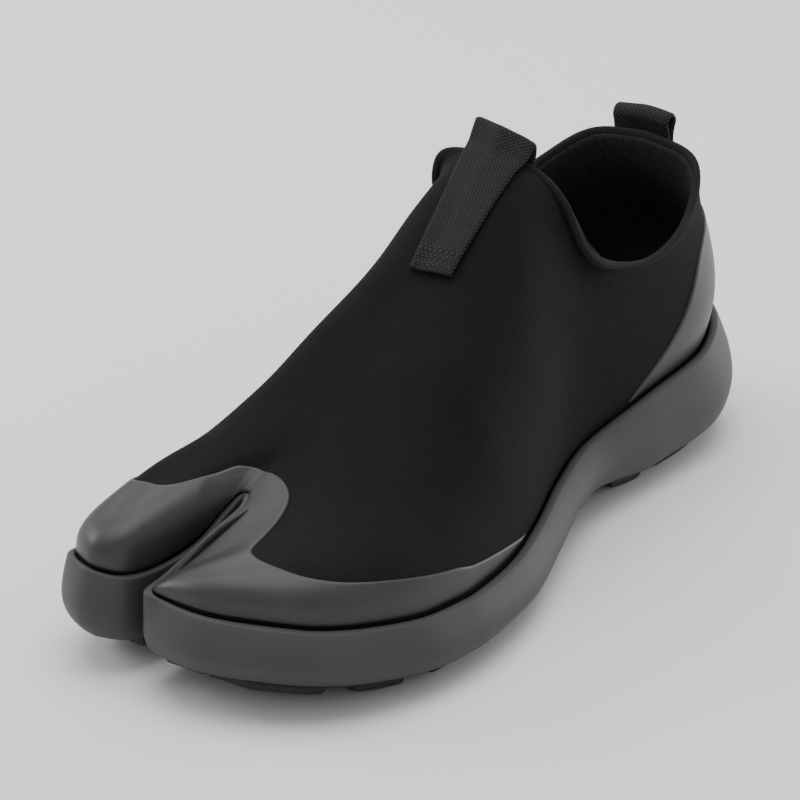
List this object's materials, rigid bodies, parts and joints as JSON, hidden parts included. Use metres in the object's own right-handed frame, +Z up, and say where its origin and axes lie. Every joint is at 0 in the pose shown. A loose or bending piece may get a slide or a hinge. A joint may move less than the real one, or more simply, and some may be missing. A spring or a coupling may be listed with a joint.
{
  "type": "tabi sneaker",
  "caption": "Low slip-on sneaker for the left foot with a split toe, a hollow knit upper, film overlays at toe and heel, webbing pull loops and a thick lugged sole.",
  "frame": {"origin": "middle of the shoe's box in plan, on the ground under the sole", "axes": "+X from the heel to the toes, +Y to the wearer's left, which is the outer side of this shoe, +Z up"},
  "size_m": [0.2734, 0.115, 0.1233],
  "materials": {
    "knit": "matte black knit",
    "foam": "soft satin foam",
    "rubber": "matte rubber",
    "film": "satin film",
    "webbing": "ribbed webbing",
    "liner": "matte liner"
  },
  "bodies": {
    "root": {"midsole": "foam", "upper": "knit", "toe_overlay": "film", "heel_overlay": "film", "insole": "liner", "front_pull_loop": "webbing", "heel_pull_loop": "webbing", "outsole_heel": "rubber", "outsole_ball": "rubber", "outsole_four_toes": "rubber", "outsole_big_toe": "rubber"}
  },
  "joints": []
}
